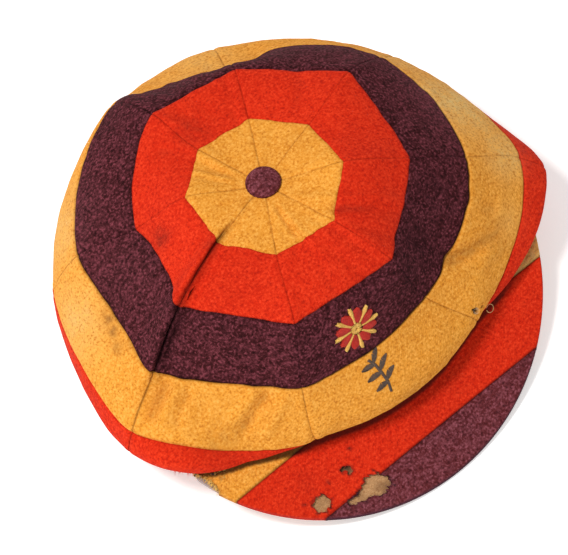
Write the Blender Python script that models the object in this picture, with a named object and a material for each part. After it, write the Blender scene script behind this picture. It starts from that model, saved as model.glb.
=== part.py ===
"""A hooped cricket cap at its real size, lying on a surface as it would by itself.

Eight gores make the crown. Each gore is five strips of cloth, so that the strips of all eight
line up as hoops: yellow, red, purple, yellow and red from the top button out to the rim. The
baggy crown hangs over a flat peak, a stiff board with three stripes of cloth on its top.

Metres. +Z is up, the peak points along -Y, and the origin is on the surface that the cap lies
on, under the middle of its bounding box. Bearings turn from the front (-Y) towards +X.
"""

import functools
import math
from collections import namedtuple

import bmesh
import bpy
from mathutils import Matrix, Vector

# Driving sizes
CROWN_RADIUS = 0.110  # from the button's axis, the length that each seam's reach is a share of
CROWN_HEIGHT = 0.087  # from the surface up to the seat of the button
HEAD_WIDTH = 0.158  # head opening, side to side
HEAD_LENGTH = 0.168  # head opening, front to back
CLOTH = 0.002  # wall of the crown: wool flannel and its backing
SEAM_GAP = 0.0003  # between two strips that are sewn together
BUTTON_RADIUS = 0.0078
BUTTON_DOME = 0.0034
SHANK_RADIUS = 0.0022
SHANK_LENGTH = 0.006
TIP_RADIUS = 0.0034  # where the eight gores end, under the button
PEAK_HALF_WIDTH = 0.101
PEAK_CURVE_DEPTH = 0.092  # from the peak's widest line forward to its front edge
PEAK_REACH = 0.129  # from the button's axis forward to the peak's front edge
PEAK_SLOPE = math.radians(23)
PEAK_ARCH = 0.002  # how far the middle of the peak stands above its sides
PEAK_BOARD = 0.002
PEAK_CLOTH = 0.001
PEAK_CORNER = math.radians(55)  # bearing at which the peak's edge starts to round inwards
PEAK_END = math.radians(60)  # bearing of the peak's two ends
FOLD_ROUND = 2.25 * CLOTH  # size of the bend where the crown turns under to its rim
OVER_PEAK = {3: 3.6 * CLOTH, 4: 1.8 * CLOTH}  # least height of the last hoop and the fold over it
BESIDE = math.radians(4)  # how far beyond the peak's ends the crown is still held up by it
DRAPE = 2 * CLOTH  # over what height the crown eases on to the peak
SEAM_ALLOWANCE = 0.006  # how far the peak goes in under the crown's rim
STRIPE_RED = 0.046  # from the front edge back to where red meets yellow
STRIPE_PURPLE = 0.018  # from the front edge back to where purple meets red

# Where the cap sits over its origin
BUTTON_X = -0.0022
BUTTON_Y = 0.0160
OPENING_BACK = 0.008  # how far the middle of the head opening lies behind the button

Hoops = namedtuple("Hoops", "first second third fourth fold")
Seam = namedtuple("Seam", "name bearing reach drop")
Gore = namedtuple("Gore", "name bulge")

# A seam's bearing, its reach as a share of CROWN_RADIUS and its drop below the button's seat as
# a share of CROWN_HEIGHT, at the four hoop lines and at the fold. The top leans back and to the
# left, and is turned a little on the rim.
SEAMS = (
    Seam("front_left", Hoops(-32, -29.5, -30, -28, -27),
         Hoops(0.32, 0.60, 0.77, 0.88, 0.85), Hoops(-0.03, 0.05, 0.37, 0.71, 0.745)),
    Seam("front_right", Hoops(14.5, 16.5, 19.5, 26, 26),
         Hoops(0.33, 0.60, 0.73, 0.912, 0.885), Hoops(-0.08, 0.03, 0.37, 0.71, 0.745)),
    Seam("right_front", Hoops(59.5, 61.5, 63.5, 64.5, 62.8),
         Hoops(0.32, 0.59, 0.83, 1.075, 1.175), Hoops(-0.10, 0.05, 0.24, 0.465, 0.585)),
    Seam("right_back", Hoops(104.5, 105.5, 104.5, 105, 106),
         Hoops(0.31, 0.62, 0.835, 0.962, 0.957), Hoops(0.00, 0.07, 0.37, 0.67, 0.80)),
    Seam("back_right", Hoops(149.5, 150.5, 151.5, 153, 154),
         Hoops(0.32, 0.57, 0.715, 0.87, 0.88), Hoops(0.08, 0.15, 0.52, 0.70, 0.86)),
    Seam("back_left", Hoops(194.5, 190, 188, 191, 194),
         Hoops(0.31, 0.57, 0.795, 0.822, 0.817), Hoops(0.08, 0.13, 0.44, 0.67, 0.85)),
    Seam("left_back", Hoops(239.5, 241.5, 242.5, 243.5, 244.5),
         Hoops(0.31, 0.52, 0.76, 0.87, 0.85), Hoops(0.00, 0.22, 0.37, 0.70, 0.85)),
    Seam("left_front", Hoops(284.5, 285.5, 286.5, 287.5, 288),
         Hoops(0.31, 0.60, 0.817, 1.016, 1.04), Hoops(-0.01, 0.08, 0.37, 0.60, 0.77)),
)

# How far the middle of each gore stands out beyond the straight line between its seams, as a
# share of CROWN_RADIUS. A gore starts at the seam of the same place in SEAMS.
GORES = (
    Gore("front", Hoops(0.00, 0.00, 0.04, 0.08, 0.08)),
    Gore("front_right", Hoops(0.00, 0.01, 0.080, 0.065, 0.078)),
    Gore("right", Hoops(0.00, 0.01, 0.05, 0.05, 0.03)),
    Gore("back_right", Hoops(0.00, 0.00, 0.09, 0.05, 0.04)),
    Gore("back", Hoops(0.00, 0.00, 0.03, 0.05, 0.07)),
    Gore("back_left", Hoops(0.00, 0.04, 0.065, 0.06, 0.05)),
    Gore("left", Hoops(0.00, -0.03, 0.00, 0.04, 0.045)),
    Gore("front_left", Hoops(0.00, 0.00, 0.00, 0.08, 0.12)),
)

# Dents and ridges: where each is (a turn in gores and a line), its half sizes in the same
# units, and how far it lifts the cloth as a share of CROWN_RADIUS.
Fold = namedtuple("Fold", "name turn line half_turn half_line lift")
FOLDS = (
    Fold("left_crease_ridge", 6.90, 3.3, 0.20, 2.4, 0.018),
    Fold("left_crease_valley", 7.09, 3.3, 0.16, 2.4, -0.024),
    Fold("right_hollow", 1.40, 3.6, 0.50, 1.1, -0.041),
    Fold("back_hollow", 4.55, 4.2, 0.40, 1.2, -0.027),
    Fold("crown_ridge", 5.03, 1.95, 0.24, 0.8, 0.007),
    Fold("crown_valley", 5.32, 1.95, 0.22, 0.8, -0.007),
    Fold("front_pleat", 0.34, 2.0, 0.20, 0.7, -0.008),
    Fold("left_corner", 7.27, 6.0, 0.38, 1.3, 0.055),
)

# Colours: red, green and blue
YELLOW = (0.87, 0.50, 0.09)
RED = (0.72, 0.05, 0.02)
PURPLE = (0.10, 0.035, 0.06)
BOARD_TAN = (0.42, 0.22, 0.10)

# Facets
CELLS_ACROSS = 8  # of a gore
EASE = 0.07  # brings the columns of a gore closer together beside its seams
PEAK_CELLS = 36  # round the peak
PEAK_ROWS = 6
BUTTON_SIDES = 24
NORMAL_STRETCH = 0.003  # how far on each side the points that give a normal are

# Lines down the crown, in the order that a gore crosses them
TIP, SEAT, FIRST, SECOND, THIRD, FOURTH, FOLD, UNDER, RIM = range(9)
Strip = namedtuple("Strip", "number colour_name colour start end cells")
STRIPS = (
    Strip(1, "yellow", YELLOW, TIP, FIRST, 4),
    Strip(2, "red", RED, FIRST, SECOND, 3),
    Strip(3, "purple", PURPLE, SECOND, THIRD, 4),
    Strip(4, "yellow", YELLOW, THIRD, FOURTH, 4),
    Strip(5, "red", RED, FOURTH, RIM, 9),
)


def polar(bearing, radius, height):
    """The point at this bearing and radius from the button's axis."""
    sine, cosine = math.sin(bearing), math.cos(bearing)
    return Vector((BUTTON_X + radius * sine, BUTTON_Y - radius * cosine, height))


def ellipse_radius(bearing, half_width, half_length, forward):
    """Radius, from the button's axis, of an ellipse whose middle lies forward of that axis."""
    sine, cosine = math.sin(bearing) / half_width, math.cos(bearing) / half_length
    square = sine * sine + cosine * cosine
    half_linear = cosine * forward / half_length
    constant = (forward / half_length) ** 2 - 1
    return (half_linear + math.sqrt(half_linear * half_linear - square * constant)) / square


def smooth_share(value, start, end):
    """0 before start and 1 after end, with a smooth step between them."""
    share = min(1.0, max(0.0, (value - start) / (end - start)))
    return share * share * (3 - 2 * share)


def peak_top(x, y):
    """Height of the striped cloth's top face at x, y."""
    front = BUTTON_Y - PEAK_REACH
    rise = (y - front) * math.tan(PEAK_SLOPE)
    sag = PEAK_ARCH * ((x - BUTTON_X) / PEAK_HALF_WIDTH) ** 2
    return (PEAK_BOARD + PEAK_CLOTH + SEAM_GAP) / math.cos(PEAK_SLOPE) + rise - sag


def seam_point(seam, hoop):
    """Where a seam crosses a hoop line or the fold."""
    height = CROWN_HEIGHT * (1 - seam.drop[hoop])
    return polar(math.radians(seam.bearing[hoop]), CROWN_RADIUS * seam.reach[hoop], height)


def seam_bearing(turn, hoop):
    """Bearing at a turn around the crown, counted in gores, on a hoop line."""
    first = int(math.floor(turn)) % len(SEAMS)
    start = SEAMS[first].bearing[hoop]
    end = SEAMS[(first + 1) % len(SEAMS)].bearing[hoop]
    if end < start:
        end += 360
    return math.radians(start + (end - start) * (turn % 1))


def eased_up(height, least):
    """The height, raised smoothly where it comes near or under the least height."""
    return (height + least + math.hypot(height - least, DRAPE)) / 2


def peak_under(point):
    """Height of the peak's top under a point, falling away steeply beside the peak."""
    right, forward = point.x - BUTTON_X, BUTTON_Y - point.y
    bearing = abs(math.atan2(right, forward))
    beside = max(0.0, bearing - PEAK_END - BESIDE) * math.hypot(right, forward)
    return peak_top(point.x, point.y) - 1.5 * beside


def hoop_point(turn, hoop):
    """A point of a hoop line: straight between two seams, and standing out in the middle. The
    last two lines lie over the peak."""
    first = int(math.floor(turn)) % len(SEAMS)
    start = seam_point(SEAMS[first], hoop)
    end = seam_point(SEAMS[(first + 1) % len(SEAMS)], hoop)
    across = turn % 1
    chord = end - start
    outward = Vector((chord.y, -chord.x, 0)).normalized()
    stand = 4 * across * (1 - across) * GORES[first].bulge[hoop] * CROWN_RADIUS
    point = start + chord * across + outward * stand
    if hoop in OVER_PEAK:
        point.z = eased_up(point.z, peak_under(point) + OVER_PEAK[hoop])
    return point


def seat_point(turn, radius):
    """A point of the flat seat under the button, which leans as the first hoop line does."""
    corners = [seam_point(seam, 0) for seam in SEAMS]
    middle = polar(0, 0, CROWN_HEIGHT)
    steepest = Vector((0, 0, 0))
    for corner in corners:
        run = Vector((corner.x - middle.x, corner.y - middle.y, 0))
        steepest += 2 / len(corners) * run * (corner.z - middle.z) / run.length_squared
    point = polar(seam_bearing(turn, 0), radius, CROWN_HEIGHT)
    point.z += steepest.dot(point - middle)
    return point


def rim_point(turn):
    """A point of the head opening's edge: on the peak in front, and on the surface behind."""
    bearing = seam_bearing(turn, 4)
    radius = ellipse_radius(bearing, HEAD_WIDTH / 2, HEAD_LENGTH / 2, -OPENING_BACK)
    point = polar(bearing, radius, 0)
    away = abs(math.remainder(bearing, 2 * math.pi))
    end_radius = ellipse_radius(PEAK_END, HEAD_WIDTH / 2, HEAD_LENGTH / 2, -OPENING_BACK)
    end = polar(PEAK_END, end_radius, 0)
    on_peak = peak_top(point.x, min(point.y, end.y)) + SEAM_GAP
    point.z = on_peak * (1 - smooth_share(away, PEAK_END, math.radians(150)))
    return point


def under_point(fold, rim):
    """A point under the fold, where the cloth turns back to the rim in a round bend."""
    back = rim - fold
    overhang = math.hypot(back.x, back.y)
    point = fold + back * min(0.5, FOLD_ROUND / max(overhang, FOLD_ROUND))
    point.z -= FOLD_ROUND * min(1.0, overhang / (4 * FOLD_ROUND))
    point.z = max(point.z, peak_under(point) + SEAM_GAP)
    return point


def spline(points, place):
    """A smooth curve through the points, at a place counted in points."""
    last = len(points) - 1
    index = min(int(place), last - 1)
    share = place - index
    lengths = [(points[i + 1] - points[i]).length for i in range(last)]

    def tangent(i):
        if i == 0:
            return (points[1] - points[0]) / lengths[0]
        if i == last:
            return (points[last] - points[last - 1]) / lengths[last - 1]
        before = (points[i] - points[i - 1]) / lengths[i - 1]
        after = (points[i + 1] - points[i]) / lengths[i]
        return (before * lengths[i] + after * lengths[i - 1]) / (lengths[i - 1] + lengths[i])

    start, end = tangent(index) * lengths[index], tangent(index + 1) * lengths[index]
    square, cube = share * share, share * share * share
    return (
        points[index] * (2 * cube - 3 * square + 1)
        + start * (cube - 2 * square + share)
        + points[index + 1] * (3 * square - 2 * cube)
        + end * (cube - square)
    )


def taut_point(turn, line):
    """The crown's outer face without its dents. turn counts gores round it, and line counts TIP
    to RIM."""
    lines = [seat_point(turn, TIP_RADIUS), seat_point(turn, BUTTON_RADIUS * 1.1)]
    lines += [hoop_point(turn, hoop) for hoop in range(5)]
    rim = rim_point(turn)
    lines += [under_point(lines[FOLD], rim), rim]
    return spline(lines, line)


def normal_of(surface, turn, line):
    """A surface's outward normal, taken over a stretch so that it doesn't jump at a seam."""
    here = surface(turn, line)

    def beyond(turn_step, line_step):
        run = (surface(turn + turn_step, line + line_step) - here).length
        stretch = min(NORMAL_STRETCH / run, 12)
        further = min(max(line + line_step * stretch, TIP), RIM)
        return surface(turn + turn_step * stretch, further)

    above = here if line < TIP + 0.02 else beyond(0, -0.02)
    below = here if line > RIM - 0.02 else beyond(0, 0.02)
    round_it = beyond(0.02, 0) - beyond(-0.02, 0)
    return (below - above).cross(round_it).normalized()


def fold_lift(turn, line):
    """How far all the dents and ridges lift the cloth here."""
    lift = 0
    for fold in FOLDS:
        across = math.remainder(turn - fold.turn, len(SEAMS)) / fold.half_turn
        along = (line - fold.line) / fold.half_line
        if abs(across) < 1 and abs(along) < 1:
            lift += fold.lift * (1 - across * across) ** 2 * (1 - along * along) ** 2
    return lift * CROWN_RADIUS


@functools.cache
def crown_point(turn, line):
    """The crown's outer face, with its dents, lying on the peak and the surface."""
    point = taut_point(turn, line)
    lift = fold_lift(turn, line)
    if lift:
        point += normal_of(taut_point, turn, line) * lift
    if line > FOLD:
        point.z = max(point.z, peak_under(point) + SEAM_GAP)
    point.z = max(point.z, 0)
    return point


def new_object(name, mesh, colour, collection, smooth_angle=35):
    """An object of this mesh with a cloth material of this colour."""
    obj = bpy.data.objects.new(name, mesh)
    material = bpy.data.materials.new(name)
    material.use_nodes = True
    shader = material.node_tree.nodes["Principled BSDF"]
    shader.inputs["Base Color"].default_value = (*colour, 1)
    shader.inputs["Roughness"].default_value = 0.9
    shader.inputs["Metallic"].default_value = 0
    mesh.materials.append(material)
    mesh.shade_smooth()
    mesh.set_sharp_from_angle(angle=math.radians(smooth_angle))
    collection.objects.link(obj)
    return obj


def finished(name, solid, colour, collection):
    """The object of a closed solid, its faces turned outwards."""
    bmesh.ops.recalc_face_normals(solid, faces=solid.faces[:])
    if solid.calc_volume(signed=True) < 0:
        bmesh.ops.reverse_faces(solid, faces=solid.faces[:])
    mesh = bpy.data.meshes.new(name)
    solid.to_mesh(mesh)
    solid.free()
    return new_object(name, mesh, colour, collection)


def patch_solid(cells_across, cells_along, outer, inner):
    """A piece of cloth or board: a grid whose two faces are placed by outer and inner, functions
    of the shares across and along it. Its edge faces are all split the same way, so that two
    pieces that are sewn together keep their gap."""
    cloth = bmesh.new()
    bmesh.ops.create_grid(cloth, x_segments=cells_across, y_segments=cells_along, size=0.5)
    shares = {v: (v.co.x + 0.5, v.co.y + 0.5) for v in cloth.verts}
    raised = bmesh.ops.extrude_face_region(cloth, geom=cloth.faces[:], use_keep_orig=True)
    under = {v: (v.co.x + 0.5, v.co.y + 0.5) for v in raised["geom"]
             if isinstance(v, bmesh.types.BMVert)}
    for v, (across, along) in shares.items():
        v.co = outer(across, along)
    for v, (across, along) in under.items():
        v.co = inner(across, along)
    for face in cloth.faces[:]:
        on_top = [v for v in face.verts if v in shares]
        below = [v for v in face.verts if v in under]
        if on_top and below:
            first = min(on_top, key=lambda v: sum(shares[v]))
            last = max(below, key=lambda v: sum(under[v]))
            bmesh.utils.face_split(face, first, last)
    return cloth


def add_strip(gore, strip, collection):
    """One strip of one gore, sewn to its neighbours with half a seam gap on every side."""
    half_gap = SEAM_GAP / 2

    def place(across, along):
        turn, line = gore + across, strip.start + (strip.end - strip.start) * along
        step = 0.001
        width = (crown_point(gore + 1 - step, line) - crown_point(gore + step, line)).length
        inset = half_gap / width
        eased = across - EASE * math.sin(2 * math.pi * across)
        turn = gore + inset + eased * (1 - 2 * inset)
        start = crown_point(turn, strip.start)
        first_run = (crown_point(turn, strip.start + 0.1) - start).length / 0.1
        last_run = (crown_point(turn, strip.end) - crown_point(turn, strip.end - 0.1)).length / 0.1
        top = 0 if strip.start == TIP else half_gap / first_run
        bottom = 0 if strip.end == RIM else half_gap / last_run
        return turn, strip.start + top + (strip.end - strip.start - top - bottom) * along

    def outer(across, along):
        return crown_point(*place(across, along))

    def inner(across, along):
        turn, line = place(across, along)
        point = crown_point(turn, line) - normal_of(crown_point, turn, line) * CLOTH
        point.z = max(point.z, 0)
        return point

    name = f"{GORES[gore].name}_gore_{strip.number}_{strip.colour_name}"
    cloth = patch_solid(CELLS_ACROSS, strip.cells, outer, inner)
    finished(name, cloth, strip.colour, collection)


def peak_solid(upper, lower):
    """The peak's outline between two depths below the striped cloth's top face."""

    def placed(across, along, depth):
        bearing = PEAK_END * (2 * across - 1) * 0.995
        back = ellipse_radius(bearing, HEAD_WIDTH / 2 - SEAM_ALLOWANCE,
                              HEAD_LENGTH / 2 - SEAM_ALLOWANCE, -OPENING_BACK)
        front = ellipse_radius(bearing, PEAK_HALF_WIDTH, PEAK_CURVE_DEPTH,
                               PEAK_REACH - PEAK_CURVE_DEPTH)
        corner = max(0.0, (abs(bearing) - PEAK_CORNER) / (PEAK_END - PEAK_CORNER))
        front = back + (front - back) * math.sqrt(1 - corner * corner)
        point = polar(bearing, back + (front - back) * along, 0)
        point.z = peak_top(point.x, point.y) - depth / math.cos(PEAK_SLOPE)
        return point

    return patch_solid(PEAK_CELLS, PEAK_ROWS, lambda across, along: placed(across, along, upper),
                       lambda across, along: placed(across, along, lower))


def add_stripe(name, colour, front, back, collection):
    """The part of the peak's cloth between two distances back from its front edge."""
    cloth = peak_solid(0, PEAK_CLOTH)
    edge = BUTTON_Y - PEAK_REACH
    for distance, direction in ((front, -1), (back, 1)):
        if distance is None:
            continue
        cut = bmesh.ops.bisect_plane(
            cloth,
            geom=cloth.verts[:] + cloth.edges[:] + cloth.faces[:],
            plane_co=(0, edge + distance - direction * SEAM_GAP / 2, 0),
            plane_no=(0, direction, 0),
            clear_outer=True,
        )
        rim = [part for part in cut["geom_cut"] if isinstance(part, bmesh.types.BMEdge)]
        bmesh.ops.holes_fill(cloth, edges=rim)
    bmesh.ops.triangulate(cloth, faces=[f for f in cloth.faces if len(f.verts) > 4])
    finished(name, cloth, colour, collection)


def add_button(collection):
    """The cloth-covered button: a low dome, and the shank that holds it down."""
    sole = -BUTTON_DOME * 0.25
    profile = [(SHANK_RADIUS, -SHANK_LENGTH), (SHANK_RADIUS, sole)]
    profile += [(BUTTON_RADIUS * 0.86, sole), (BUTTON_RADIUS, 0)]
    for step in range(1, 6):
        angle = math.radians(90) * step / 6
        profile.append((BUTTON_RADIUS * math.cos(angle), BUTTON_DOME * math.sin(angle)))
    solid = bmesh.new()
    rings = []
    for radius, height in profile:
        turns = [2 * math.pi * i / BUTTON_SIDES for i in range(BUTTON_SIDES)]
        ring = [(radius * math.cos(t), radius * math.sin(t), height) for t in turns]
        rings.append([solid.verts.new(co) for co in ring])
    for lower, upper in zip(rings, rings[1:]):
        for i in range(BUTTON_SIDES):
            j = (i + 1) % BUTTON_SIDES
            solid.faces.new((lower[i], lower[j], upper[j], upper[i]))
    top = solid.verts.new((0, 0, BUTTON_DOME))
    for i in range(BUTTON_SIDES):
        solid.faces.new((rings[-1][i], rings[-1][(i + 1) % BUTTON_SIDES], top))
    solid.faces.new(reversed(rings[0]))
    middle = seat_point(0, 0)
    axis = (seat_point(2, 0.01) - middle).cross(seat_point(4, 0.01) - middle).normalized()
    turned = axis.to_track_quat("Z", "Y").to_matrix().to_4x4()
    lift = Matrix.Translation(middle + axis * (SEAM_GAP - sole))
    bmesh.ops.transform(solid, matrix=lift @ turned, verts=solid.verts[:])
    finished("button", solid, PURPLE, collection)


def main():
    for obj in list(bpy.data.objects):
        bpy.data.objects.remove(obj)
    collection = bpy.data.collections.new("cricket_cap")
    bpy.context.scene.collection.children.link(collection)
    for gore in range(len(GORES)):
        for strip in STRIPS:
            add_strip(gore, strip, collection)
    add_button(collection)
    board = peak_solid(PEAK_CLOTH + SEAM_GAP, PEAK_CLOTH + SEAM_GAP + PEAK_BOARD)
    finished("peak_board", board, BOARD_TAN, collection)
    add_stripe("peak_stripe_purple", PURPLE, None, STRIPE_PURPLE, collection)
    add_stripe("peak_stripe_red", RED, STRIPE_PURPLE, STRIPE_RED, collection)
    add_stripe("peak_stripe_yellow", YELLOW, STRIPE_RED, None, collection)


main()
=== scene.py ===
import math

import bpy
import numpy as np
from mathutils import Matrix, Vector
from mathutils.bvhtree import BVHTree


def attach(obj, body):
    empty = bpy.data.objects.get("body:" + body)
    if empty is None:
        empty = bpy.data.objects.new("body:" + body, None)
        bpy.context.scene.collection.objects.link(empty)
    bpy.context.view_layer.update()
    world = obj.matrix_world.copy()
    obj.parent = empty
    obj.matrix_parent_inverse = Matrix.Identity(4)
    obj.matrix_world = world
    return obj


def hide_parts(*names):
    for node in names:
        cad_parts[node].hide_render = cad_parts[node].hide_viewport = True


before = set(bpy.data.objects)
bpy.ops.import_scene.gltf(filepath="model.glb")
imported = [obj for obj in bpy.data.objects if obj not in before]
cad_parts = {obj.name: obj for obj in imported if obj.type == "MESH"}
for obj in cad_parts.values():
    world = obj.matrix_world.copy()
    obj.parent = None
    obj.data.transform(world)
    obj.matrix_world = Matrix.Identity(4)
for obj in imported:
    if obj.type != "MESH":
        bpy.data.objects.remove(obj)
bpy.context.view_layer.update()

# The cap's own sizes and tables, the same as in its CAD source. Metres and degrees.
MM = 0.001
CROWN_RADIUS = 0.110
CROWN_HEIGHT = 0.087
HEAD_WIDTH = 0.158
HEAD_LENGTH = 0.168
CLOTH = 0.002
SEAM_GAP = 0.0003
BUTTON_RADIUS = 0.0078
BUTTON_DOME = 0.0034
TIP_RADIUS = 0.0034
PEAK_HALF_WIDTH = 0.101
PEAK_CURVE_DEPTH = 0.092
PEAK_REACH = 0.129
PEAK_SLOPE = math.radians(23)
PEAK_ARCH = 0.002
PEAK_BOARD = 0.002
PEAK_CLOTH = 0.001
PEAK_CORNER = math.radians(55)
PEAK_END = math.radians(60)
FOLD_ROUND = 2.25 * CLOTH
OVER_PEAK = {3: 3.6 * CLOTH, 4: 1.8 * CLOTH}
BESIDE = math.radians(4)
DRAPE = 2 * CLOTH
SEAM_ALLOWANCE = 0.006
STRIPE_RED = 0.046
STRIPE_PURPLE = 0.018
BUTTON_X = -0.0022
BUTTON_Y = 0.0160
OPENING_BACK = 0.008

# A row for each seam: its bearings, reaches and drops at four hoop lines and the fold
BEARING = np.radians([
    (-32, -29.5, -30, -28, -27), (14.5, 16.5, 19.5, 26, 26), (59.5, 61.5, 63.5, 64.5, 62.8),
    (104.5, 105.5, 104.5, 105, 106), (149.5, 150.5, 151.5, 153, 154),
    (194.5, 190, 188, 191, 194), (239.5, 241.5, 242.5, 243.5, 244.5),
    (284.5, 285.5, 286.5, 287.5, 288)])
REACH = np.array([
    (0.32, 0.60, 0.77, 0.88, 0.85), (0.33, 0.60, 0.73, 0.912, 0.885), (0.32, 0.59, 0.83, 1.075, 1.175),
    (0.31, 0.62, 0.835, 0.962, 0.957), (0.32, 0.57, 0.715, 0.87, 0.88), (0.31, 0.57, 0.795, 0.822, 0.817),
    (0.31, 0.52, 0.76, 0.87, 0.85), (0.31, 0.60, 0.817, 1.016, 1.04)])
DROP = np.array([
    (-0.03, 0.05, 0.37, 0.71, 0.745), (-0.08, 0.03, 0.37, 0.71, 0.745),
    (-0.10, 0.05, 0.24, 0.465, 0.585), (0.00, 0.07, 0.37, 0.67, 0.80),
    (0.08, 0.15, 0.52, 0.70, 0.86), (0.08, 0.13, 0.44, 0.67, 0.85),
    (0.00, 0.22, 0.37, 0.70, 0.85), (-0.01, 0.08, 0.37, 0.60, 0.77)])
GORES = ("front", "front_right", "right", "back_right", "back", "back_left", "left", "front_left")
ROUND = len(GORES)  # turns are counted in gores, so this many lead once round the crown
BULGE = np.array([
    (0.00, 0.00, 0.04, 0.08, 0.08), (0.00, 0.01, 0.080, 0.065, 0.078), (0.00, 0.01, 0.05, 0.05, 0.03),
    (0.00, 0.00, 0.09, 0.05, 0.04), (0.00, 0.00, 0.03, 0.05, 0.07), (0.00, 0.04, 0.065, 0.06, 0.05),
    (0.00, -0.03, 0.00, 0.04, 0.045), (0.00, 0.00, 0.00, 0.08, 0.12)])
# Turn, line, half sizes and lift of each large dent or ridge
FOLDS = (
    (6.90, 3.3, 0.20, 2.4, 0.018), (7.09, 3.3, 0.16, 2.4, -0.024), (1.40, 3.6, 0.50, 1.1, -0.041),
    (4.55, 4.2, 0.40, 1.2, -0.027), (5.03, 1.95, 0.24, 0.8, 0.007), (5.32, 1.95, 0.22, 0.8, -0.007),
    (0.34, 2.0, 0.20, 0.7, -0.008), (7.27, 6.0, 0.38, 1.3, 0.055))
TIP, SEAT, FIRST, SECOND, THIRD, FOURTH, FOLD, UNDER, RIM = range(9)
STRIPS = ((1, "yellow", TIP, FIRST, 2), (2, "red", FIRST, SECOND, 1), (3, "purple", SECOND, THIRD, 1),
          (4, "yellow", THIRD, FOURTH, 1), (5, "red", FOURTH, RIM, 1))

# How fine the crown's grid is
COLUMNS = 96  # in a gore
ROWS = ((TIP, SEAT, 8), (SEAT, FIRST, 32), (FIRST, SECOND, 36), (SECOND, THIRD, 40), (THIRD, FOURTH, 40),
        (FOURTH, FOLD, 24), (FOLD, UNDER, 12), (UNDER, RIM, 24))
COARSE = 4  # cells of the outside to one of the inside

LATTICE_CELLS = 32
LATTICE = np.random.default_rng(11).uniform(-1, 1, [LATTICE_CELLS] * 3)


def noise(points, size, shift=0.0):
    """Smooth seeded noise between -1 and 1, of lumps about this size."""
    place = points / size + shift + 64.37
    cell = np.floor(place).astype(int)
    share = place - cell
    share = share * share * share * (share * (share * 6 - 15) + 10)
    total = 0
    for corner in np.ndindex(2, 2, 2):
        x, y, z = np.moveaxis((cell + corner) % LATTICE_CELLS, -1, 0)
        total = total + np.prod(np.where(corner, share, 1 - share), -1) * LATTICE[x, y, z]
    return total


def unit(vectors):
    return vectors / np.maximum(np.linalg.norm(vectors, axis=-1, keepdims=True), 1e-12)


def smooth_share(value, start, end):
    share = np.clip((value - start) / (end - start), 0, 1)
    return share * share * (3 - 2 * share)


def bell(distance, size=1.0):
    """1 at no distance, fading to nothing at about twice this size."""
    return np.exp(-(distance / size) ** 2)


def polar(bearing, radius, height):
    bearing = np.asarray(bearing, float)
    x = BUTTON_X + radius * np.sin(bearing)
    y = BUTTON_Y - radius * np.cos(bearing)
    return np.stack([x, y, height + 0 * x], -1)


def quarter_turned(way):
    """A flat way turned a quarter to the left."""
    return np.stack([-way[..., 1], way[..., 0]], -1)


def ellipse_radius(bearing, half_width, half_length, forward):
    sine, cosine = np.sin(bearing) / half_width, np.cos(bearing) / half_length
    square = sine * sine + cosine * cosine
    half_linear = cosine * forward / half_length
    constant = (forward / half_length) ** 2 - 1
    return (half_linear + np.sqrt(half_linear * half_linear - square * constant)) / square


def peak_top(x, y):
    rise = (y - (BUTTON_Y - PEAK_REACH)) * math.tan(PEAK_SLOPE)
    sag = PEAK_ARCH * ((x - BUTTON_X) / PEAK_HALF_WIDTH) ** 2
    return (PEAK_BOARD + PEAK_CLOTH + SEAM_GAP) / math.cos(PEAK_SLOPE) + rise - sag


def peak_under(points):
    right, forward = points[..., 0] - BUTTON_X, BUTTON_Y - points[..., 1]
    beside = np.maximum(0, np.abs(np.arctan2(right, forward)) - PEAK_END - BESIDE)
    return peak_top(points[..., 0], points[..., 1]) - 1.5 * beside * np.hypot(right, forward)


CORNERS = polar(BEARING, CROWN_RADIUS * REACH, CROWN_HEIGHT * (1 - DROP))


def seam_bearing(turns, hoop):
    first = np.floor(turns).astype(int) % ROUND
    start = BEARING[first, hoop]
    end = BEARING[(first + 1) % ROUND, hoop]
    end = np.where(end < start, end + 2 * math.pi, end)
    return start + (end - start) * (turns % 1)


def hoop_points(turns, hoop):
    first = np.floor(turns).astype(int) % ROUND
    start = CORNERS[first, hoop]
    chord = CORNERS[(first + 1) % ROUND, hoop] - start
    across = (turns % 1)[:, None]
    outward = unit(np.stack([chord[:, 1], -chord[:, 0], 0 * chord[:, 0]], -1))
    stand = 4 * across * (1 - across) * BULGE[first, hoop][:, None] * CROWN_RADIUS
    points = start + chord * across + outward * stand
    if hoop in OVER_PEAK:
        least = peak_under(points) + OVER_PEAK[hoop]
        height = points[:, 2]
        points[:, 2] = (height + least + np.hypot(height - least, DRAPE)) / 2
    return points


def seat_points(turns, radius):
    middle = polar(0, 0, CROWN_HEIGHT)
    runs = CORNERS[:, 0, :2] - middle[:2]
    rises = CORNERS[:, 0, 2] - CROWN_HEIGHT
    steepest = np.sum(2 / ROUND * runs * (rises / np.sum(runs * runs, 1))[:, None], 0)
    points = polar(seam_bearing(turns, 0), radius, CROWN_HEIGHT)
    points[:, 2] += (points[:, :2] - middle[:2]) @ steepest
    return points


def rim_points(turns):
    bearing = seam_bearing(turns, 4)
    half_width, half_length = HEAD_WIDTH / 2, HEAD_LENGTH / 2
    points = polar(bearing, ellipse_radius(bearing, half_width, half_length, -OPENING_BACK), 0)
    away = np.abs((bearing + math.pi) % (2 * math.pi) - math.pi)
    end = polar(PEAK_END, ellipse_radius(PEAK_END, half_width, half_length, -OPENING_BACK), 0)
    on_peak = peak_top(points[:, 0], np.minimum(points[:, 1], end[1])) + SEAM_GAP
    points[:, 2] = on_peak * (1 - smooth_share(away, PEAK_END, math.radians(150)))
    return points


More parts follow.
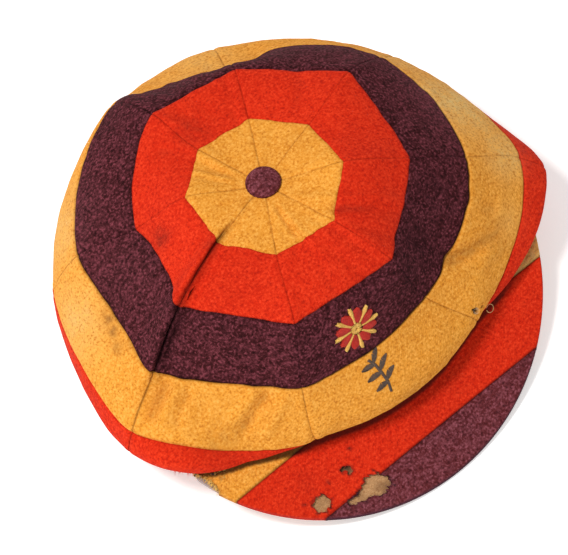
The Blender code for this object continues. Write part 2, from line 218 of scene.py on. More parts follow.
def under_points(fold, rim):
    back = rim - fold
    overhang = np.hypot(back[:, 0], back[:, 1])
    share = np.minimum(0.5, FOLD_ROUND / np.maximum(overhang, FOLD_ROUND))
    points = fold + back * share[:, None]
    points[:, 2] -= FOLD_ROUND * np.minimum(1, overhang / (4 * FOLD_ROUND))
    points[:, 2] = np.maximum(points[:, 2], peak_under(points) + SEAM_GAP)
    return points


def taut_grid(turns, line_grid):
    """The crown's outer face without dents, at a grid of lines with a column for each turn."""
    stations = [seat_points(turns, TIP_RADIUS), seat_points(turns, BUTTON_RADIUS * 1.1)]
    stations += [hoop_points(turns, hoop) for hoop in range(5)]
    rim = rim_points(turns)
    stations += [under_points(stations[FOLD], rim), rim]
    stations = np.array(stations)
    chords = stations[1:] - stations[:-1]
    lengths = np.linalg.norm(chords, axis=-1, keepdims=True)
    chords = chords / lengths
    inner = (chords[:-1] * lengths[1:] + chords[1:] * lengths[:-1]) / (lengths[:-1] + lengths[1:])
    tangents = np.concatenate([chords[:1], inner, chords[-1:]])
    index = np.minimum(line_grid.astype(int), len(stations) - 2)
    column = np.arange(len(turns))[None, :]
    t = (line_grid - index)[..., None]
    square, cube = t * t, t * t * t
    return (
        stations[index, column] * (2 * cube - 3 * square + 1)
        + tangents[index, column] * lengths[index, column] * (cube - 2 * square + t)
        + stations[index + 1, column] * (3 * square - 2 * cube)
        + tangents[index + 1, column] * lengths[index, column] * (cube - square)
    )


def wrapped(grid, reach):
    return np.concatenate([grid[:, -reach:], grid, grid[:, :reach]], 1)


def normals_of(grid, reach=2, closed=True):
    """Outward normals of a grid, evened out over a few cells."""
    wide = wrapped(grid, reach + 1) if closed else grid
    down = np.gradient(wide, axis=0)
    round_it = np.gradient(wide, axis=1)
    normals = unit(np.cross(down, round_it))
    for _ in range(reach):
        middle = normals.copy()
        middle[1:-1] = (normals[:-2] + 2 * normals[1:-1] + normals[2:]) / 4
        normals = middle.copy()
        normals[:, 1:-1] = (middle[:, :-2] + 2 * middle[:, 1:-1] + middle[:, 2:]) / 4
    normals = unit(normals)
    return normals[:, reach + 1:-reach - 1] if closed else normals


def eased(count, amount=0.1):
    """Shares from 0 to 1, closer together at both ends."""
    even = np.linspace(0, 1, count + 1)
    return even - amount * np.sin(2 * math.pi * even)


def wandered(line_grid, turn_grid):
    """Lines moved a little up and down the cloth, so that no hoop seam runs dead straight."""
    ring = np.stack([np.cos(turn_grid * math.pi / 4), np.sin(turn_grid * math.pi / 4), 0.21 * line_grid], -1)
    sway = 0.016 * noise(ring, 0.21, 2.5) + 0.011 * noise(ring, 0.075, 6.5)
    held = smooth_share(line_grid, 1.3, 2.0) * (1 - smooth_share(line_grid, 5.0, 5.6))
    return line_grid + sway * held


across = eased(COLUMNS)
turns = np.concatenate([gore + across[:-1] for gore in range(ROUND)])
line_parts = [start + (end - start) * eased(count)[:-1] for start, end, count in ROWS]
lines = np.concatenate(line_parts + [[float(RIM)]])
row_of = {row_start: int(sum(count for *_, count in ROWS[:i])) for i, (row_start, _, _) in enumerate(ROWS)}
row_of[RIM] = len(lines) - 1

TURN, LINE = np.meshgrid(turns, lines)


def evened(grid, reach):
    """A grid with each row blurred round the crown by a spread of turns, for each row its own."""
    blurred = np.zeros_like(grid)
    weight = 0
    for step in np.linspace(-2.2, 2.2, 23):
        share = math.exp(-step * step / 2)
        for r in range(len(lines)):
            place = (turns + step * reach[r]) % ROUND
            for k in range(grid.shape[2]):
                blurred[r, :, k] += share * np.interp(
                    place, np.append(turns, ROUND), np.append(grid[r, :, k], grid[r, 0, k]))
        weight += share
    return blurred / weight


softness = 0.10 * smooth_share(lines, 2.6, 4.6) * (1 - smooth_share(lines, 6.3, 7.2))
base = evened(taut_grid(turns, wandered(LINE, TURN)), softness)
lift = np.zeros_like(TURN)
for fold_turn, fold_line, half_turn, half_line, height in FOLDS:
    side = ((TURN - fold_turn + ROUND / 2) % ROUND - ROUND / 2) / half_turn
    along = (LINE - fold_line) / half_line
    inside = (np.abs(side) < 1) & (np.abs(along) < 1)
    lift += np.where(inside, height * (1 - side ** 2) ** 2 * (1 - along ** 2) ** 2, 0)
base = base + normals_of(base) * (lift * CROWN_RADIUS)[..., None]

# Lengths along the cloth, in metres: from the nearest seam of a gore, and from the nearest hoop
sideways = np.linalg.norm(np.roll(base, -1, 1) - base, axis=-1)
run = np.cumsum(sideways.reshape(len(lines), ROUND, COLUMNS), 2)
before = np.concatenate([0 * run[..., :1], run[..., :-1]], 2)
from_seam = np.minimum(before, run[..., -1:] - before).reshape(TURN.shape)
from_middle = (before - run[..., -1:] / 2).reshape(TURN.shape)
downwards = np.linalg.norm(np.diff(base, axis=0), axis=-1)
depth_down = np.concatenate([np.zeros((1, len(turns))), np.cumsum(downwards, 0)])
from_hoop = np.full_like(TURN, 1.0)
for hoop_line in (FIRST, SECOND, THIRD, FOURTH):
    from_hoop = np.minimum(from_hoop, np.abs(depth_down - depth_down[row_of[hoop_line]]))

# Wrinkles that the photograph shows: two ends in turns and lines, half width and height in mm
WRINKLES = (
    (6.93, 1.0, 6.94, 4.4, 4.5, 0.9), (6.955, 1.1, 6.978, 4.0, 1.7, 1.9), (7.05, 1.7, 7.05, 4.3, 3.0, -1.4),
    (7.10, 3.05, 7.075, 3.75, 1.3, -0.9), (7.16, 3.02, 7.10, 3.9, 1.6, 0.6),
    (7.20, 4.05, 7.15, 4.85, 2.6, 1.8), (7.12, 4.05, 7.08, 4.8, 2.2, -1.6), (7.28, 4.1, 7.24, 4.8, 2.2, -1.4),
    (7.80, 4.05, 7.60, 4.80, 2.8, -2.1), (7.70, 4.0, 7.50, 4.7, 2.6, 1.4), (7.90, 4.1, 7.72, 4.8, 2.4, 1.3),
    (7.40, 4.2, 7.36, 4.8, 2.0, -0.6), (3.84, 3.4, 3.80, 4.6, 5.0, -1.3),
    (1.02, 1.6, 1.50, 2.8, 2.6, -1.5), (1.20, 1.4, 1.62, 2.9, 2.6, 1.1), (0.80, 1.5, 0.92, 2.8, 2.2, -0.9),
    (3.25, 4.70, 4.95, 4.70, 9.0, 1.9), (1.22, 3.85, 1.56, 4.75, 3.6, -2.2), (1.14, 4.1, 1.45, 4.8, 3.2, 1.2),
    (1.60, 3.7, 1.70, 4.6, 4.0, -1.4),
    (5.1, 2.0, 5.32, 2.7, 2.6, -0.9), (4.75, 2.1, 5.02, 2.9, 2.6, 0.8), (1.7, 3.1, 1.85, 4.5, 3.0, -0.7),
    (5.06, 1.9, 5.20, 1.15, 1.6, 0.7), (5.14, 2.1, 5.30, 1.2, 1.5, -0.6), (7.72, 4.93, 7.99, 4.95, 4.5, 1.7),
    (5.45, 2.05, 5.58, 1.1, 1.4, 0.6), (5.52, 2.2, 5.66, 1.2, 1.3, -0.5),
    (0.34, 1.10, 0.44, 2.05, 1.5, -1.2), (0.44, 1.15, 0.56, 2.1, 1.5, 0.9), (0.24, 1.2, 0.32, 2.0, 1.3, 0.5),
    (1.10, 2.2, 1.45, 3.9, 3.2, -0.9), (1.55, 2.6, 1.62, 4.3, 3.5, 0.9),
    (1.34, 3.0, 1.30, 4.4, 2.4, -0.8), (2.20, 3.2, 2.60, 4.2, 3.0, 0.7),
    (3.30, 2.2, 3.60, 3.6, 3.2, -0.7), (4.30, 3.1, 4.62, 4.6, 3.0, 0.8), (4.62, 3.0, 4.85, 4.4, 2.6, -0.7),
    (6.30, 2.2, 6.60, 3.6, 2.6, 0.6), (6.15, 3.5, 6.75, 4.7, 3.0, -0.7),
    (7.25, 2.4, 7.75, 2.9, 2.8, -0.5), (7.30, 4.2, 7.85, 4.5, 2.6, 0.6), (7.2, 4.7, 7.9, 4.9, 1.8, -0.5),
    (0.15, 4.3, 0.85, 4.6, 2.4, 0.6), (0.1, 4.75, 0.9, 4.85, 1.7, -0.5), (1.1, 4.5, 1.8, 4.6, 2.2, 0.5),
    (0.62, 2.2, 0.80, 3.4, 2.4, -0.5), (2.1, 1.2, 2.4, 2.3, 2.2, 0.4), (3.5, 1.1, 3.6, 2.4, 2.2, -0.4))


def place_on(grid, turn, line):
    """Points of a whole grid at turns and lines, between its rows and columns."""
    row = np.clip(np.interp(line, lines, np.arange(len(lines))), 0, len(lines) - 1.001)
    column = np.interp(turn % ROUND, np.append(turns, ROUND), np.arange(len(turns) + 1))
    r, c = row.astype(int), column.astype(int)
    fr, fc = (row - r)[..., None], (column - c)[..., None]
    c0, c1 = c % len(turns), (c + 1) % len(turns)
    top = grid[r, c0] * (1 - fc) + grid[r, c1] * fc
    low = grid[r + 1, c0] * (1 - fc) + grid[r + 1, c1] * fc
    return top * (1 - fr) + low * fr


def spot_on(grid, turn, line):
    return place_on(grid, np.array([turn]), np.array([line]))[0]


def far_from(turn, line, half_size):
    """How far each point of the crown lies from a place on it, in half sizes given in mm."""
    return np.linalg.norm(base - spot_on(base, turn, line), axis=-1) / (half_size * MM)


def wrinkle(points, path, half_width):
    """How strongly a wrinkle along this path acts at each point: 1 on it, fading to its ends."""
    low, high = path.min(0) - 3 * half_width, path.max(0) + 3 * half_width
    near = np.all((points > low) & (points < high), -1)
    strength = np.zeros(points.shape[:-1])
    distance = np.linalg.norm(points[near][:, None] - path[None], axis=-1)
    nearest = distance.argmin(1)
    share = nearest / (len(path) - 1)
    fade = np.sqrt(np.clip(np.sin(math.pi * np.clip(share, 0.02, 0.98)) * 1.6, 0, 1))
    strength[near] = bell(distance.min(1), half_width) * fade
    return strength


SMALL_WRINKLES = 70  # seeded, besides the listed ones
shape_lift = np.zeros_like(TURN)
wander = np.random.default_rng(5)
for turn_a, line_a, turn_b, line_b, half_width, height in WRINKLES:
    t = np.linspace(0, 1, 60)
    bend = 0.02 * np.sin(math.pi * t) * wander.uniform(-1, 1)
    path = place_on(base, turn_a + (turn_b - turn_a) * t + bend, line_a + (line_b - line_a) * t)
    shape_lift += wrinkle(base, path, half_width * MM) * height * MM
for _ in range(SMALL_WRINKLES):
    turn_a, line_a = wander.uniform(0, ROUND), wander.uniform(1.3, 5.2)
    turn_b, line_b = turn_a + wander.uniform(-0.3, 0.3), line_a + wander.uniform(0.3, 1.0)
    t = np.linspace(0, 1, 30)
    path = place_on(base, turn_a + (turn_b - turn_a) * t, line_a + (line_b - line_a) * t)
    height = wander.uniform(0.12, 0.34) * wander.choice([-1, 1])
    shape_lift += wrinkle(base, path, wander.uniform(1.2, 3.0) * MM) * height * MM

# The deep crease beside the left front seam, where one gore is pushed over the next
CREASE_DEPTH = 3.6 * MM
CREASE_HALF_WIDTH = 1.25 * MM
crease_line = np.linspace(1.15, 4.10, 160)
crease_turn = np.interp(crease_line, (1.15, 1.74, 2.97, 4.10), (6.955, 6.972, 6.990, 6.998))


def creased(turns_aside, half_width, start, end):
    """How strongly the crease acts, or a line beside it, from between these two lines onwards."""
    path = place_on(base, crease_turn + turns_aside, crease_line)
    return wrinkle(base, path, half_width) * smooth_share(LINE, start, end)


shape_lift -= CREASE_DEPTH * creased(0, CREASE_HALF_WIDTH, 1.2, 2.0)
# Painted shade makes it darkest just beside its floor, and a soft second line of painted shade follows it
# through the purple
crease = creased(0.010, CREASE_HALF_WIDTH, 1.40, 2.0)
crease = np.maximum(crease, 0.50 * creased(0.045, 1.6 * MM, 3.0, 3.25))
calm = smooth_share(LINE, 0.8, 1.6)
shape_lift += (0.55 * noise(base, 0.024) + 0.22 * noise(base, 0.010, 3.1)) * MM * calm
shape_lift += 0.05 * MM * noise(base, 0.0035, 7.7)

# Seams: a narrow groove, and cloth that stands up a little and puckers beside it
pucker = 1 + 0.55 * noise(base, 0.005, 1.7)
ripple = noise(base, 0.0032, 9.3)
seam_lift = np.zeros_like(TURN)
for distance in (from_seam, from_hoop):
    beside = bell(distance - 2.4 * MM, 1.7 * MM)
    seam_lift += 0.15 * MM * beside * pucker + 0.09 * MM * ripple * bell(distance, 3.5 * MM)
seam_lift -= 0.30 * MM * bell(from_seam, 0.45 * MM)
hoop_dark = np.zeros_like(TURN)
uneven = 0.6 + 0.4 * noise(base, 0.006, 5.5)
# For each hoop seam: how deep it sits, how dark it looks, and which of its sides is the dark one. The dark is
# a seam line with painted shade beside it, wider on the dark side
for hoop_line, deep_in, darkness, dark_side in ((FIRST, 0.30, 0.22, 0), (SECOND, 0.50, 0.60, 1),
                                                (THIRD, 0.80, 1.35, -1), (FOURTH, 0.55, 0.55, 0)):
    past = (depth_down - depth_down[row_of[hoop_line]]) / MM
    seam_lift -= deep_in * MM * bell(past, 0.60)
    wide = np.where(past * dark_side > 0, 1.40, 0.40)
    hoop_dark = np.maximum(hoop_dark, np.minimum(1, darkness * uneven) * bell(past, wide))

# A moth hole through the yellow hoop, drawn as a pit as deep as the cloth and painted near black as the shade
# inside it
MOTH_HOLE = (1.040, 4.70)
moth = np.zeros_like(TURN)
for *hole, half_size in ((*MOTH_HOLE, 1.5), (1.075, 4.80, 0.7)):
    away = far_from(*hole, half_size) + 0.25 * noise(base, 0.0009, 4.4)
    moth = np.maximum(moth, 1 - smooth_share(away, 0.7, 1.15))

normals = normals_of(base)
smooth_crown = base + normals * shape_lift[..., None]
normals = normals_of(smooth_crown, 1)
crown = smooth_crown + normals * (seam_lift - 1.5 * MM * moth)[..., None]


def settled(points, line_grid):
    """Keeps the turned-in cloth on the peak, and all of it on the surface."""
    floor = np.where(line_grid > FOLD, peak_under(points) + SEAM_GAP, 0)
    points[..., 2] = np.maximum(points[..., 2], np.maximum(floor, 0))
    return points


crown = settled(crown, LINE)
lining = settled(smooth_crown - normals * CLOTH, 0 * LINE)

# Where the cloth is darker: soiled spots, two places along the crease and, in the last three rows, a broad
# band over the purple on the right side. Turn, line, half size in mm, strength
SOIL = ((6.25, 2.75, 4.2, 0.70), (6.30, 2.85, 2.2, 0.6), (6.47, 4.10, 3.5, 0.6), (6.56, 4.15, 3.0, 0.7),
        (6.66, 4.22, 3.2, 0.6), (6.72, 4.05, 2.4, 0.4), (4.85, 2.35, 8.0, 0.25), (0.5, 4.9, 5.0, 0.25),
        (7.5, 4.8, 7.0, 0.25), (1.5, 4.6, 8.0, 0.2), (6.95, 2.1, 4.0, 0.35), (6.98, 3.0, 4.0, 0.3),
        (1.00, 3.45, 11.0, 0.38), (1.35, 3.45, 11.0, 0.42), (1.75, 3.45, 11.0, 0.36))
soil_and_shade = np.zeros_like(TURN)
for *place, strength in SOIL:
    patchy = 0.75 + 0.5 * noise(base, 0.0025, 2.2)
    soil_and_shade = np.maximum(soil_and_shade, strength * bell(far_from(*place)) * patchy)
# Painted shade in the wrinkles' valleys, carried in the same layer as the soiled spots
soil_and_shade = np.maximum(soil_and_shade, 0.30 * smooth_share(-shape_lift / MM, 0.5, 2.0) * smooth_share(LINE, 1.8, 2.1))
hairline = np.where((LINE > SECOND) & (LINE < THIRD), 0.7, 0.5) * (1 - 0.5 * smooth_share(LINE, 4.5, 5.0))
# The left front seam is pulled in below the crease, and painted shade makes it darker and wider there
pulled = bell(TURN - 7, 0.05) * (LINE > THIRD)
hairline = (hairline * uneven + 0.40 * pulled) * bell(from_seam, (0.34 + 0.20 * pulled) * MM)
# Dark seam lines, together with the painted shade along the hoop seams and in the crease
stitches_and_shade = np.maximum(np.maximum(hairline, hoop_dark), crease)

# Where the yellow is bleached: turn, line, half size in mm, strength
FADED = ((2.45, 4.45, 22.0, 1.0), (2.02, 4.73, 12.0, 0.8), (2.9, 4.3, 14.0, 0.5), (4.15, 4.45, 18.0, 0.40),
         (5.75, 4.40, 20.0, 0.60), (6.30, 4.6, 18.0, 0.5), (1.62, 4.80, 9.0, 0.25), (6.3, 3.5, 20.0, 0.14))
faded_and_lit = np.zeros_like(TURN)
for *place, strength in FADED:
    patchy = 0.85 + 0.3 * noise(base, 0.004, 8.8)
    faded_and_lit = np.maximum(faded_and_lit, strength * bell(far_from(*place)) * patchy)
grain = np.stack([from_middle, depth_down, 0 * depth_down], -1)


def in_scene(name, data):
    obj = bpy.data.objects.new(name, data)
    bpy.context.scene.collection.objects.link(obj)
    return obj


def new_piece(name, points, faces, material, slot, replaced=(), layers=None, angle=None):
    """A piece of the cap as a mesh, with its material, its place in the frame and its layers."""
    mesh = bpy.data.meshes.new(name)
    mesh.from_pydata(np.asarray(points).tolist(), [], faces)
    mesh.materials.append(material)
    mesh.shade_smooth()
    if angle is not None:
        mesh.set_sharp_from_angle(angle=math.radians(angle))
    for label, values in (layers or {}).items():
        values = np.asarray(values, np.float32)
        kind, field = ("FLOAT_VECTOR", "vector") if values.ndim == 2 else ("FLOAT", "value")
        mesh.attributes.new(label, kind, "POINT").data.foreach_set(field, values.ravel())
    obj = in_scene(name, mesh)
    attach(obj, "root")
    if replaced:
        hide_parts(*replaced)


def quads(number):
    """Faces of a grid of point numbers."""
    return np.stack([number[:-1, :-1], number[1:, :-1], number[1:, 1:], number[:-1, 1:]], -1).reshape(-1, 4)


def sewn_patch(rows, columns, outer_grid, inner_grid):
    """A closed piece of cloth: fine outside, coarser inside, and its edges between them."""
    inner_rows, inner_columns = rows[::COARSE], columns[::COARSE]

    def both(outer, inner):
        """Values of the outside's points, and then of the inside's."""
        width = outer.shape[2:]
        return np.concatenate([outer[np.ix_(rows, columns)].reshape(-1, *width),
                               inner[np.ix_(inner_rows, inner_columns)].reshape(-1, *width)])

    number = np.arange(len(rows) * len(columns)).reshape(len(rows), len(columns))
    inner_number = np.arange(len(inner_rows) * len(inner_columns)).reshape(len(inner_rows), -1) + number.size
    faces = quads(number).tolist() + quads(inner_number)[:, [0, 3, 2, 1]].tolist()
    for side, way in ((np.s_[0], 1), (np.s_[-1], -1), (np.s_[:, 0], -1), (np.s_[:, -1], 1)):
        fine, coarse = number[side], inner_number[side]
        for i in range(len(coarse) - 1):
            ends = coarse[[i + 1, i]].tolist()
            faces.append(fine[i * COARSE:(i + 1) * COARSE + 1].tolist()[::way] + ends[::way])
    return both(outer_grid, inner_grid), faces, lambda grid: both(grid, grid)


# Materials

def feed(tree, socket, value):
    """Links a node's output to an input, or sets the input to a value."""
    if isinstance(value, bpy.types.NodeSocket):
        tree.links.new(value, socket)
    else:
        socket.default_value = value


def node(tree, kind, values=None, **settings):
    """A shader node with its settings, and a value or a link for each named input."""
    made = tree.nodes.new(kind)
    for key, value in settings.items():
        setattr(made, key, value)
    for key, value in (values or {}).items():
        feed(tree, made.inputs[key], value)
    return made


def blank_material(name, rough, sheen, sheen_colour, specular=0.2):
    material = bpy.data.materials.new(name)
    material.use_nodes = True
    shader = material.node_tree.nodes["Principled BSDF"]
    for key, value in (("Metallic", 0), ("Specular IOR Level", specular), ("Sheen Weight", sheen),
                       ("Sheen Roughness", 0.6), ("Sheen Tint", (*sheen_colour, 1)), ("Roughness", rough)):
        shader.inputs[key].default_value = value
    return material, shader


def mixed(tree, share, first, second):
    return node(tree, "ShaderNodeMix", {0: share, 6: first, 7: second}, data_type="RGBA").outputs[2]


def scaled(tree, value, low, high, new_low, new_high):
    values = {"Value": value, "From Min": low, "From Max": high, "To Min": new_low, "To Max": new_high}
    return node(tree, "ShaderNodeMapRange", values).outputs["Result"]


def math_node(tree, operation, first, second):
    return node(tree, "ShaderNodeMath", {0: first, 1: second}, operation=operation).outputs[0]


def object_place(tree):
    return node(tree, "ShaderNodeTexCoord").outputs["Object"]


def lumps(tree, place, scale, detail, roughness=0.5):
    values = {"Vector": place, "Scale": scale, "Detail": detail, "Roughness": roughness}
    return node(tree, "ShaderNodeTexNoise", values).outputs["Fac"]


def layer(tree, name, output="Fac"):
    """What a piece's own layer of this name says at each point."""
    return node(tree, "ShaderNodeAttribute", attribute_name=name).outputs[output]


def finish_shader(tree, shader, rgb, height, strength, distance):
    tree.links.new(rgb, shader.inputs["Base Color"])
    bump = node(tree, "ShaderNodeBump", {"Height": height, "Strength": strength, "Distance": distance})
    tree.links.new(bump.outputs["Normal"], shader.inputs["Normal"])


def wool(name, colour, shade, light, dirt_and_shade, bleached_and_lit, sheen, specular=0.10):
    """Milled wool flannel: mottled, with a faint twill, short fuzz, dark seams and soiled spots, and painted
    shade, shadow and light.
    """
    material, shader = blank_material(name, 0.92, sheen, light, specular)
    tree = material.node_tree
    place = object_place(tree)
    broad = lumps(tree, place, 38.0, 3.0)
    small = lumps(tree, place, 330.0, 4.0, 0.6)
    fibre = lumps(tree, place, 1500.0, 3.0, 0.7)
    speck = lumps(tree, place, 880.0, 2.0)
    rgb = mixed(tree, scaled(tree, broad, 0.35, 0.7, 0.0, 0.30), (*colour, 1), (*shade, 1))
    # Bleached cloth on the crown; on the peak's yellow end the same tint is painted light
    rgb = mixed(tree, layer(tree, "faded_and_lit"), rgb, (*bleached_and_lit, 1))
    # a field, between which values of it the tint comes in, and how much of the tint at each
    for field, low, high, at_low, at_high, tint in (
            (small, 0.42, 0.75, 0.0, 0.5, light), (speck, 0.52, 0.70, 0.0, 0.85, light),
            (speck, 0.30, 0.47, 0.80, 0.0, shade), (fibre, 0.30, 0.50, 0.45, 0.0, shade)):
        rgb = mixed(tree, scaled(tree, field, low, high, at_low, at_high), rgb, (*tint, 1))
    # Besides dirt, seams and tears, these layers carry painted shade and painted shadow
    speckled = math_node(tree, "MULTIPLY", layer(tree, "soil_and_shade"), scaled(tree, small, 0.3, 0.6, 0.5, 1.25))
    seam = math_node(tree, "MULTIPLY", layer(tree, "seam"), 0.8)
    for share, tint in ((speckled, dirt_and_shade), (seam, [c * 0.2 for c in shade]),
                        (layer(tree, "edge"), HEM_DARK), (layer(tree, "torn_and_shade"), TORN_AND_SHADE_DARK)):
        rgb = mixed(tree, share, rgb, (*tint, 1))
    tree.links.new(scaled(tree, small, 0.3, 0.7, 0.86, 0.99), shader.inputs["Roughness"])
    height = math_node(tree, "ADD", math_node(tree, "MULTIPLY", fibre, 0.7),
                       math_node(tree, "MULTIPLY", small, 0.5))
    waves = {"Vector": layer(tree, "grain", "Vector"), "Scale": 430.0, "Distortion": 2.5, "Detail": 1.0,
             "Detail Scale": 2.0}
    twill = node(tree, "ShaderNodeTexWave", waves, bands_direction="DIAGONAL").outputs["Fac"]
    height = math_node(tree, "ADD", height, math_node(tree, "MULTIPLY", twill, 0.14))
    finish_shader(tree, shader, rgb, height, 0.75, 0.00035)
    return material


HEM_DARK = (0.05, 0.016, 0.028)
# This near black darkens torn edges, and is also the moth hole's painted shade and the painted shadow under
# the crown's edge on the peak
TORN_AND_SHADE_DARK = (0.018, 0.008, 0.006)
YELLOW = wool("wool_yellow", (0.78, 0.310, 0.034), (0.49, 0.150, 0.012), (0.91, 0.44, 0.085),
              (0.16, 0.055, 0.015), (0.74, 0.52, 0.20), 0.05)
RED = wool("wool_red", (0.63, 0.022, 0.004), (0.38, 0.010, 0.003), (0.80, 0.050, 0.014),
           (0.10, 0.012, 0.008), (0.70, 0.10, 0.05), 0.02)
PURPLE = wool("wool_purple", (0.050, 0.0088, 0.0105), (0.011, 0.0025, 0.0035), (0.225, 0.050, 0.068),
              (0.02, 0.006, 0.008), (0.16, 0.05, 0.06), 0.03, 0.05)
WORN_PURPLE = wool("wool_purple_worn", (0.125, 0.0220, 0.0250), (0.040, 0.008, 0.010),
                   (0.300, 0.085, 0.110), (0.03, 0.010, 0.012), (0.16, 0.05, 0.06), 0.04, 0.05)
WOOL = {"yellow": YELLOW, "red": RED, "purple": PURPLE}

# The crown: forty strips, each in its own node's place
for number, colour, start, end, step in STRIPS:
    for gore, gore_name in enumerate(GORES):
        rows = np.arange(row_of[start], row_of[end] + 1)
        columns = (gore * COLUMNS + np.arange(0, COLUMNS + 1, step)) % len(turns)
        points, faces, both = sewn_patch(rows, columns, crown, lining)
        layers = {"seam": both(stitches_and_shade), "soil_and_shade": both(soil_and_shade), "torn_and_shade": both(moth), "faded_and_lit": both(faded_and_lit)}
        # the last column closes the gore, so it lies as far from its middle as the first does
        far = grain.copy()
        far[:, columns[-1], 0] *= -1
        layers["grain"] = both(far)
        node_name = f"{gore_name}_gore_{number}_{colour}"
        new_piece(node_name + "_cloth", points, faces, WOOL[colour], f"{colour}_wool", [node_name],
                  layers)


def tube_faces(rings, sides):
    """Faces between rings of points, and the lid on the first ring."""
    faces = [(i + j, i + (j + 1) % sides, i + sides + (j + 1) % sides, i + sides + j)
             for i in range(0, (rings - 1) * sides, sides) for j in range(sides)]
    return faces + [tuple(range(sides))[::-1]]


def rope(path, radius, sides=5, taper=False):
    """Points and faces of a round thread along a path, closed at both ends."""
    path = np.asarray(path, float)
    along = unit(np.gradient(path, axis=0))
    aside = np.cross(along, np.array([0.31, 0.17, 0.94]))
    aside = unit(np.where(np.linalg.norm(aside, axis=1, keepdims=True) < 1e-3, [1.0, 0, 0], aside))
    third = np.cross(along, aside)
    thickness = np.full(len(path), radius)
    if taper:
        thickness = radius * (1 - 0.8 * np.linspace(0, 1, len(path)))
    angle = np.arange(sides) * 2 * math.pi / sides
    ring = (aside[:, None] * np.cos(angle)[None, :, None] + third[:, None] * np.sin(angle)[None, :, None])
    points = (path[:, None] + ring * thickness[:, None, None]).reshape(-1, 3)
    last = (len(path) - 1) * sides
    return points, tube_faces(len(path), sides) + [tuple(range(last, last + sides))]


def joined(parts):
    """One list of points and faces from many."""
    points, faces, start = [], [], 0
    for part_points, part_faces in parts:
        points.append(part_points)
        faces += [tuple(v + start for v in face) for face in part_faces]
        start += len(part_points)
    return np.concatenate(points), faces


def edges_of(triangles):
    return np.concatenate([triangles[:, [0, 1]], triangles[:, [1, 2]], triangles[:, [2, 0]]])


def shell(top, bottom, triangles):
    """A closed solid between two faces, which share their triangles."""
    used, index = np.unique(triangles, return_inverse=True)
    triangles = index.reshape(-1, 3)
    count = len(used)
    edges = edges_of(triangles)
    rim = edges[~np.isin(edges[:, 0] * count + edges[:, 1], edges[:, 1] * count + edges[:, 0])]
    walls = np.stack([rim[:, 1], rim[:, 0], rim[:, 0] + count, rim[:, 1] + count], -1)
    faces = triangles.tolist() + (triangles[:, ::-1] + count).tolist() + walls.tolist()
    return np.concatenate([top[used], bottom[used]]), faces, used


def on_both(layers):
    """A shell's layers, with the same values on both of its faces."""
    return {label: np.concatenate([values, values]) for label, values in layers.items()}


def grid_triangles(row_total, column_total):
    faces = quads(np.arange(row_total * column_total).reshape(row_total, column_total))
    return np.concatenate([faces[:, [0, 1, 2]], faces[:, [0, 2, 3]]])


# The peak. Places on it are in mm: to the wearer's left of the button, and forward of it.
PEAK_COLUMNS = 400
PEAK_ROWS = 108
HEM = ((0.28, 0.06), (0.50, 0.22), (0.66, 0.50), (0.72, 0.90), (0.72, 1.60), (0.72, 2.40), (0.66, 3.00),
       (0.42, 3.45), (0.00, 3.62), (-1.20, 3.66), (-3.50, 3.66))  # mm outwards and down, round the edge
HEM_CLOTH = 0.28 * MM
EDGES = (PEAK_REACH - STRIPE_RED, PEAK_REACH - STRIPE_PURPLE)
# Where its cloth is worn through, and how ragged the edge is there: the small torn arch, three pin
# holes, two patches, four slits and the frayed end
WORN = (
    (((-43.6, 99.6), (-41.3, 99.1), (-38.9, 101.1), (-39.3, 103.3), (-41.4, 103.9), (-41.9, 102.7),
      (-40.9, 101.6), (-42.2, 100.8), (-43.4, 101.3)), 0.35),
    (((-35.1, 95.0), (-34.5, 96.2), (-33.7, 95.6), (-34.2, 94.8)), 0.15),
    (((-51.8, 99.9), (-51.2, 100.9), (-50.5, 100.3), (-51.0, 99.6)), 0.15),
    (((-66.0, 101.2), (-65.3, 102.2), (-64.7, 101.6), (-65.2, 101.0)), 0.15),
    (((-57.3, 102.6), (-61.5, 102.8), (-63.3, 103.5), (-63.0, 107.5), (-59.3, 109.1), (-53.9, 106.4),
      (-56.2, 104.3)), 1.15),
    (((-33.3, 108.6), (-38.3, 109.6), (-43.0, 111.4), (-49.1, 111.4), (-50.0, 113.7), (-47.6, 114.4),
      (-43.4, 114.9), (-39.0, 115.7), (-35.7, 118.2), (-31.5, 117.6), (-27.8, 117.4), (-28.6, 113.7),
      (-30.7, 110.9)), 1.15),
    (((-88.6, 72.0), (-86.4, 73.0), (-86.2, 72.5), (-88.2, 71.5)), 0.15),
    (((-90.6, 68.3), (-88.3, 69.6), (-88.0, 69.0), (-90.2, 67.7)), 0.15),
    (((-86.4, 69.6), (-84.2, 70.6), (-84.0, 70.1), (-86.1, 69.1)), 0.15),
    (((-93.0, 65.6), (-90.6, 66.4), (-90.5, 65.8), (-92.6, 64.9)), 0.15),
    (((-104.0, 58.0), (-99.5, 60.5), (-96.0, 63.0), (-93.4, 66.3), (-91.8, 70.2), (-91.5, 73.8),
      (-91.9, 77.2), (-97.0, 80.0), (-106.0, 68.0)), 0.9))


def deepened(flat_points):
    """Flat places with a third coordinate of 0, for the noise."""
    return np.concatenate([flat_points, 0 * flat_points[:, :1]], 1)


def polygon_distance(points, polygon):
    """Distance from a polygon's edge: negative inside it."""
    corners = np.array(polygon)
    nearest = np.full(len(points), 1e9)
    inside = np.zeros(len(points), bool)
    for start, end in zip(corners, np.roll(corners, -1, 0)):
        run = end - start
        t = np.clip(((points - start) @ run) / (run @ run), 0, 1)
        nearest = np.minimum(nearest, np.linalg.norm(points - start - t[:, None] * run, axis=1))
        spans = (start[1] > points[:, 1]) != (end[1] > points[:, 1])
        slope = (points[:, 1] - start[1]) / (end[1] - start[1] + 1e-12)
        inside ^= spans & (points[:, 0] < start[0] + slope * run[0])
    return np.where(inside, -nearest, nearest)


